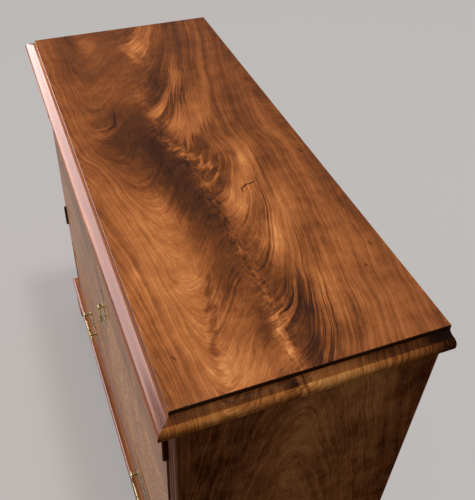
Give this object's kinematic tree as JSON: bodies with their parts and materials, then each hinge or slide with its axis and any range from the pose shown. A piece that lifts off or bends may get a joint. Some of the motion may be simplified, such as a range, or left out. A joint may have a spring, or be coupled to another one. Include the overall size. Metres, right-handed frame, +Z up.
{
  "type": "haberdashery cabinet",
  "caption": "Low free-standing cabinet with a flat moulded top, flush cupboard doors above a long drawer, reeded corner stiles and bracket feet.",
  "frame": {"origin": "on the floor, under the middle of the cabinet's outline", "axes": "+X along the front, to the right of someone facing it; +Y from front to back, so the doors face -Y; +Z up"},
  "size_m": [1.146, 0.461, 0.98],
  "materials": {
    "mahogany": "French polished, semi-gloss",
    "figured_mahogany": "French polished flame figure, semi-gloss",
    "oak": "bare, planed",
    "pine": "bare, aged",
    "brass": "polished, lightly tarnished",
    "steel": "bright, filed"
  },
  "bodies": {
    "carcass": {"top_board": "figured_mahogany", "top_moulding_front": "mahogany", "top_moulding_left": "mahogany", "top_moulding_right": "mahogany", "top_lining": "pine", "end_panel_left": "figured_mahogany", "end_panel_right": "figured_mahogany", "corner_stile_left": "mahogany", "corner_stile_right": "mahogany", "top_rail": "mahogany", "divider_rail": "mahogany", "bottom_rail": "mahogany", "dust_board": "oak", "bottom_board": "oak", "back_boards": "pine", "shelf_upper": "oak", "shelf_lower": "oak", "shelf_bearers": "oak", "drawer_runners": "oak", "drawer_stops": "oak", "base_moulding_front": "mahogany", "base_moulding_left": "mahogany", "base_moulding_right": "mahogany", "foot_front_left": "mahogany", "foot_front_right": "mahogany", "foot_back_left": "mahogany", "foot_back_right": "mahogany", "hinge_leaves_carcass": "brass", "hinge_pins": "brass", "hinge_screws_carcass": "brass"},
    "door_left": {"door_left_frame": "mahogany", "door_left_panel": "oak", "door_left_veneer": "figured_mahogany", "door_left_hinge_leaves": "brass", "door_left_screws": "brass", "door_left_bolt_cases": "brass"},
    "bolt_upper": {"door_bolt_upper": "brass"},
    "bolt_lower": {"door_bolt_lower": "brass"},
    "door_right": {"door_right_frame": "mahogany", "door_right_panel": "oak", "door_right_veneer": "figured_mahogany", "door_right_hinge_leaves": "brass", "door_right_screws": "brass", "door_lock_case": "brass", "door_pull_plate": "brass", "door_pull_post": "brass"},
    "door_lock": {"door_lock_bolt": "steel"},
    "pull_drop": {"door_pull_drop": "brass"},
    "drawer": {"drawer_front": "figured_mahogany", "drawer_bead": "mahogany", "drawer_sides": "oak", "drawer_back": "oak", "drawer_bottom": "oak", "drawer_lock_case": "brass", "handle_plates": "brass", "handle_posts": "brass"},
    "drawer_lock": {"drawer_lock_bolt": "steel"},
    "handle_left": {"bail_left": "brass"},
    "handle_right": {"bail_right": "brass"}
  },
  "joints": [
    {"name": "door_left_hinge", "type": "hinge", "parent": "carcass", "child": "door_left", "pos_m": [-0.50825, -0.2065, 0.4], "axis": [0, 0, -1], "range_deg": [0, 110]},
    {"name": "door_right_hinge", "type": "hinge", "parent": "carcass", "child": "door_right", "pos_m": [0.50825, -0.2065, 0.4], "axis": [0, 0, 1], "range_deg": [0, 110]},
    {"name": "drawer_slide", "type": "slide", "parent": "carcass", "child": "drawer", "axis": [0, -1, 0], "range_m": [0, 0.3]},
    {"name": "handle_left_swing", "type": "hinge", "parent": "drawer", "child": "handle_left", "pos_m": [-0.265, -0.2185, 0.229], "axis": [-1, 0, 0], "range_deg": [0, 85]},
    {"name": "handle_right_swing", "type": "hinge", "parent": "drawer", "child": "handle_right", "pos_m": [0.265, -0.2185, 0.229], "axis": [-1, 0, 0], "range_deg": [0, 85]},
    {"name": "pull_swing", "type": "hinge", "parent": "door_right", "child": "pull_drop", "pos_m": [0.018, -0.214, 0.612], "axis": [-1, 0, 0], "range_deg": [0, 75]},
    {"name": "bolt_upper_slide", "type": "slide", "parent": "door_left", "child": "bolt_upper", "axis": [0, 0, 1], "range_m": [0, 0.008]},
    {"name": "bolt_lower_slide", "type": "slide", "parent": "door_left", "child": "bolt_lower", "axis": [0, 0, -1], "range_m": [0, 0.008]},
    {"name": "door_lock_slide", "type": "slide", "parent": "door_right", "child": "door_lock", "axis": [-1, 0, 0], "range_m": [0, 0.008]},
    {"name": "drawer_lock_slide", "type": "slide", "parent": "drawer", "child": "drawer_lock", "axis": [0, 0, 1], "range_m": [0, 0.008]}
  ]
}
